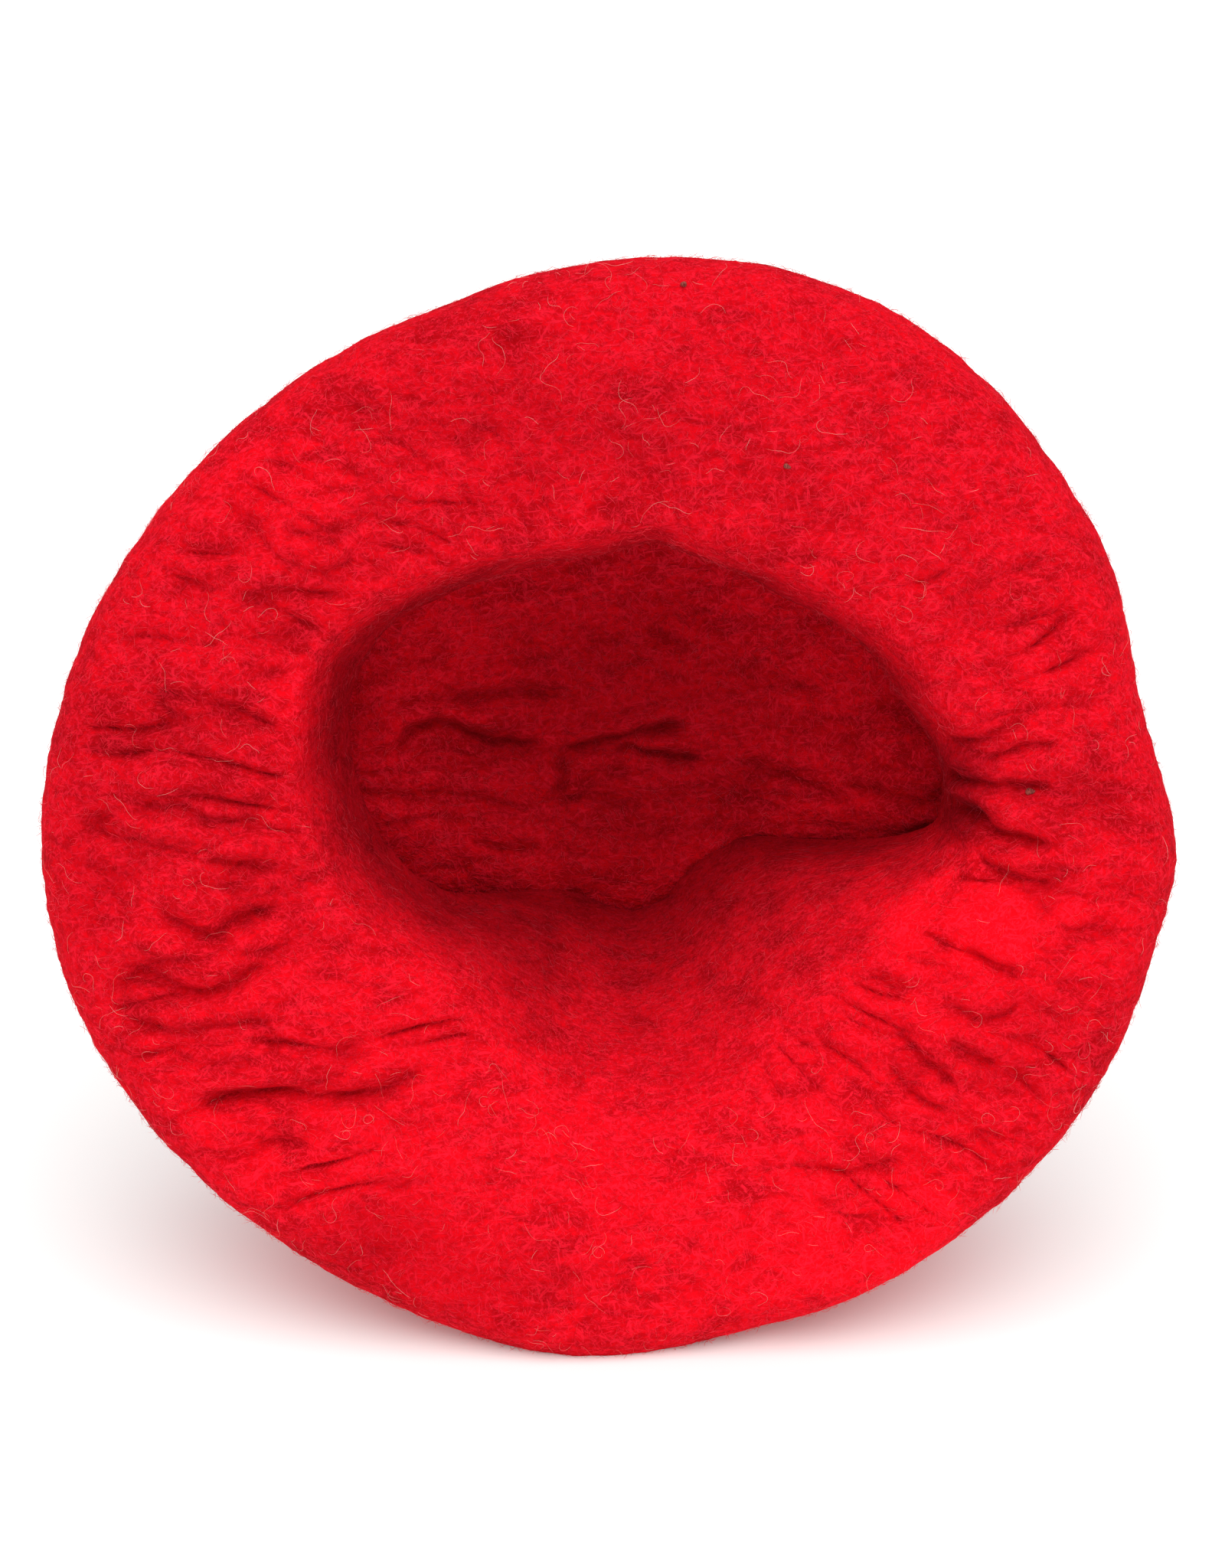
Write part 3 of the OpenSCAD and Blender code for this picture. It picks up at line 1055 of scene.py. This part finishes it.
class Nodes:
    """Short names for adding nodes to a material."""

    def __init__(self, material):
        self.tree = material.node_tree
        self.tree.nodes.clear()

    def add(self, kind, inputs=None, **settings):
        node = self.tree.nodes.new(kind)
        for key, value in settings.items():
            setattr(node, key, value)
        for key, value in (inputs or {}).items():
            self.put(node.inputs[key], value)
        return node

    def put(self, socket, value):
        """Links another node's output to the socket, or writes a plain value into it."""
        if isinstance(value, bpy.types.NodeSocket):
            self.tree.links.new(value, socket)
        else:
            socket.default_value = value

    def surface(self, shader):
        self.add("ShaderNodeOutputMaterial", {"Surface": shader.outputs["BSDF"]})

    def math(self, operation, a, b=0.0):
        node = self.add("ShaderNodeMath", operation=operation)
        self.put(node.inputs[0], a)
        self.put(node.inputs[1], b)
        return node.outputs[0]

    def noise(self, vector, scale, detail=2.0, rough=0.5, distortion=0.0):
        node = self.add("ShaderNodeTexNoise", {
            "Vector": vector, "Scale": scale, "Detail": detail, "Roughness": rough,
            "Distortion": distortion,
        })
        return node.outputs["Fac"]

    def stretched(self, vector, scale, turn=(0, 0, 0), place=(0, 0, 0)):
        node = self.add("ShaderNodeMapping", {
            "Vector": vector, "Scale": scale, "Rotation": turn, "Location": place,
        })
        return node.outputs["Vector"]

    def attribute(self, name):
        return self.add("ShaderNodeAttribute", attribute_name=name).outputs["Fac"]

    def mix(self, share, a, b, blend="MIX"):
        node = self.add("ShaderNodeMix", data_type="RGBA", blend_type=blend)
        self.put(node.inputs[0], share)
        self.put(node.inputs[6], a)
        self.put(node.inputs[7], b)
        return node.outputs[2]

    def steps(self, value, low, high):
        node = self.add("ShaderNodeMapRange", {
            "Value": value, "From Min": low, "From Max": high,
        }, interpolation_type="SMOOTHSTEP")
        return node.outputs["Result"]


def new_material(name):
    material = bpy.data.materials.new(name)
    material.use_nodes = True
    return material, Nodes(material)


def fibre_streaks(n, place, turn, long, wide, low, high):
    """Short fibres lying one way: a noise stretched along one direction of the hat's disc."""
    turned = n.stretched(place, (1, 1, 1), turn=(0, math.radians(turn), 0), place=(0.01 * turn, 0, 0))
    squeezed = n.stretched(turned, (1 / long, 1 / wide, 1 / wide))
    value = n.noise(squeezed, 1.0, detail=2.0, rough=0.55, distortion=0.9)
    return n.steps(value, low, high)


def felt_material(name, dark, mid, light):
    """Wool felt: soft marbling, short fibres lying every way and a fuzzy sheen."""
    material, n = new_material(name)
    place = n.add("ShaderNodeTexCoord").outputs["Object"]
    sideways = n.stretched(place, (0.55, 1.0, 1.3))
    clouds = n.noise(place, 32.0, detail=2.0)
    marbling = n.noise(sideways, 150.0, detail=4.0, rough=0.62, distortion=0.5)
    specks = n.noise(n.stretched(place, (0.7, 1.0, 1.0)), 620.0, detail=2.0, rough=0.6, distortion=0.3)

    fibres = None
    for turn in (8, 52, 97, 141):
        layer = fibre_streaks(n, place, turn, 0.0042, 0.0008, 0.52, 0.68)
        fibres = layer if fibres is None else n.math("MAXIMUM", fibres, layer)

    tone = n.math("ADD", n.math("MULTIPLY", marbling, 0.7), n.math("MULTIPLY", clouds, 0.3))
    colour = n.mix(n.steps(tone, 0.34, 0.56), dark, mid)
    # Painted light from the mesh's tones lightens the felt and thins its dark specks.
    painted_light = n.attribute("painted_light")
    speck_share = n.math("SUBTRACT", 0.56, n.math("MULTIPLY", painted_light, 0.35))
    colour = n.mix(n.math("MULTIPLY", n.steps(specks, 0.58, 0.36), speck_share), colour, dark)
    colour = n.mix(n.math("MULTIPLY", fibres, 0.55), colour, light)
    colour = n.mix(painted_light, colour, PAINTED_LIGHT_GAIN, "MULTIPLY")
    # Painted shade in creases and folds, and where the patches are below 0.
    colour = n.mix(n.attribute("hollow"), colour, CREASE_SHADE, "MULTIPLY")
    # Painted shade inside the hat, where the cavity lies in shade.
    colour = n.mix(n.attribute("inside"), colour, INSIDE_SHADE, "MULTIPLY")

    height = n.math("ADD", n.math("MULTIPLY", fibres, 0.35), n.math("MULTIPLY", specks, 0.9))
    height = n.math("ADD", height, n.math("MULTIPLY", marbling, 1.2))
    bump = n.add("ShaderNodeBump", {"Height": height, "Strength": 0.6, "Distance": 0.0009})
    shader = n.add("ShaderNodeBsdfPrincipled", {
        "Base Color": colour,
        "Roughness": 0.95,
        "Specular IOR Level": 0.03,
        "Sheen Weight": 0.10,
        "Sheen Roughness": 0.4,
        "Sheen Tint": (1.0, 0.02, 0.06, 1.0),
        "Normal": bump.outputs["Normal"],
    })
    n.surface(shader)
    return material


def fibre_material(name, dark, light):
    """Single wool fibres, paler and darker along their length."""
    material, n = new_material(name)
    place = n.add("ShaderNodeTexCoord").outputs["Object"]
    tone = n.noise(place, 160.0, detail=1.0)
    colour = n.mix(n.steps(tone, 0.35, 0.65), dark, light)
    # Painted shade inside the hat, as on the felt.
    colour = n.mix(n.attribute("inside"), colour, INSIDE_SHADE, "MULTIPLY")
    shader = n.add("ShaderNodeBsdfPrincipled", {
        "Base Color": colour,
        "Roughness": 0.6,
        "Specular IOR Level": 0.15,
    })
    n.surface(shader)
    return material


def burr_material():
    """Dull dry plant husk, streaked brown and grey."""
    material, n = new_material("dry_burr")
    place = n.add("ShaderNodeTexCoord").outputs["Object"]
    streaks = n.noise(n.stretched(place, (3.0, 1.0, 1.0)), 1400.0, detail=3.0)
    colour = n.mix(n.steps(streaks, 0.35, 0.65), (0.14, 0.022, 0.018, 1), (0.34, 0.065, 0.050, 1))
    bump = n.add("ShaderNodeBump", {"Height": streaks, "Strength": 0.7, "Distance": 0.0002})
    shader = n.add("ShaderNodeBsdfPrincipled", {
        "Base Color": colour,
        "Roughness": 0.8,
        "Specular IOR Level": 0.2,
        "Normal": bump.outputs["Normal"],
    })
    n.surface(shader)
    return material


def floor_material():
    """A pale floor that glows a little, a painted glow that keeps shadows light."""
    material, n = new_material("pale_floor")
    place = n.add("ShaderNodeTexCoord").outputs["Object"]
    cloud = n.noise(place, 3.0, detail=2.0)
    colour = n.mix(cloud, (0.91, 0.95, 0.94, 1), (0.93, 0.97, 0.96, 1))
    shader = n.add("ShaderNodeBsdfPrincipled", {
        "Base Color": colour,
        "Roughness": 0.9,
        "Specular IOR Level": 0.1,
        "Emission Color": (1.0, 1.0, 1.0, 1.0),
        "Emission Strength": FLOOR_GLOW,
    })
    n.surface(shader)
    return material


# ---------------------------------------------------------------- the pieces

crown_felt = felt_material("red_felt_crown", RED_DARK, RED_MID, RED_LIGHT)
underside_felt = felt_material("red_felt_underside", RED_DARK, RED_MID, RED_LIGHT)

felt_pieces = build_felt(crown_felt, underside_felt)
for node_name, piece in felt_pieces.items():
    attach(piece, "root")
    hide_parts(node_name)

fuzz_material = fibre_material("red_fuzz", (0.80, 0.006, 0.018, 1), (0.95, 0.045, 0.075, 1))
stray_material = fibre_material("pale_fibre", (0.85, 0.16, 0.16, 1), (0.90, 0.40, 0.36, 1))
stem_felt = felt_material("red_felt_stem", RED_DARK, RED_MID, RED_LIGHT)
husk = burr_material()

loose_pieces = build_fuzz(fuzz_material) + [build_strays(stray_material)]
for piece in loose_pieces:
    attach(piece, "root")

stem = build_stem(stem_felt)
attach(stem, "root")
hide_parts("stem")

for number, (place, half) in enumerate(BURRS, start=1):
    burr = build_burr(number, place, half, husk)
    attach(burr, "root")

# ---------------------------------------------------------------- stage, light and camera

FLOOR_SIZE = 40.0
WORLD_STRENGTH = 0.60
SUN_SPREAD = 58
SUN_STRENGTH = 1.95
SUN_PLACE = (0.06, -0.60, 1.4)

# The camera's distance and its aim above the disc's middle are in metres.  Its aim and how many
# millimetres the picture's height covers were adjusted until the outline matched.
CAMERA_DISTANCE = 0.780
CAMERA_ELEVATION = 25.0
MM_ACROSS_HEIGHT = 400.6
AIM_ABOVE_MIDDLE = 0.0133
SENSOR = 36.0

floor_mesh = bpy.data.meshes.new("floor")
floor_mesh.from_pydata(
    [(x * FLOOR_SIZE / 2, y * FLOOR_SIZE / 2, 0) for x, y in ((-1, -1), (1, -1), (1, 1), (-1, 1))],
    [], [(0, 1, 2, 3)],
)
floor_mesh.materials.append(floor_material())
floor = bpy.data.objects.new("floor", floor_mesh)
bpy.context.scene.collection.objects.link(floor)

world = bpy.data.worlds.new("studio")
world.use_nodes = True
world.node_tree.nodes["Background"].inputs["Color"].default_value = (1.0, 1.0, 1.0, 1)
world.node_tree.nodes["Background"].inputs["Strength"].default_value = WORLD_STRENGTH
bpy.context.scene.world = world


def aim(item, place, target):
    item.location = place
    direction = np.array(target) - np.array(place)
    yaw = math.atan2(-direction[0], direction[1])
    pitch = math.atan2(direction[2], math.hypot(direction[0], direction[1]))
    item.rotation_euler = (math.pi / 2 + pitch, 0, yaw)


scene = bpy.context.scene
sun = bpy.data.lights.new("overhead", "SUN")
sun.angle = math.radians(SUN_SPREAD)
sun.energy = SUN_STRENGTH
overhead = bpy.data.objects.new("overhead", sun)
scene.collection.objects.link(overhead)
aim(overhead, SUN_PLACE, (0, 0, 0))

camera_data = bpy.data.cameras.new("camera")
camera_data.sensor_width = SENSOR
camera_data.lens = SENSOR * CAMERA_DISTANCE / (MM_ACROSS_HEIGHT * MM)
camera = bpy.data.objects.new("camera", camera_data)
scene.collection.objects.link(camera)
scene.camera = camera
rise = math.radians(CAMERA_ELEVATION)
disc_middle = (SHIFT[0] * MM, SHIFT[1] * MM, STAND_HEIGHT * MM)
target = (
    disc_middle[0],
    disc_middle[1] + AIM_ABOVE_MIDDLE * math.sin(rise),
    disc_middle[2] + AIM_ABOVE_MIDDLE * math.cos(rise),
)
place = (
    target[0],
    target[1] - CAMERA_DISTANCE * math.cos(rise),
    target[2] + CAMERA_DISTANCE * math.sin(rise),
)
aim(camera, place, target)
scene.view_settings.view_transform = "Standard"
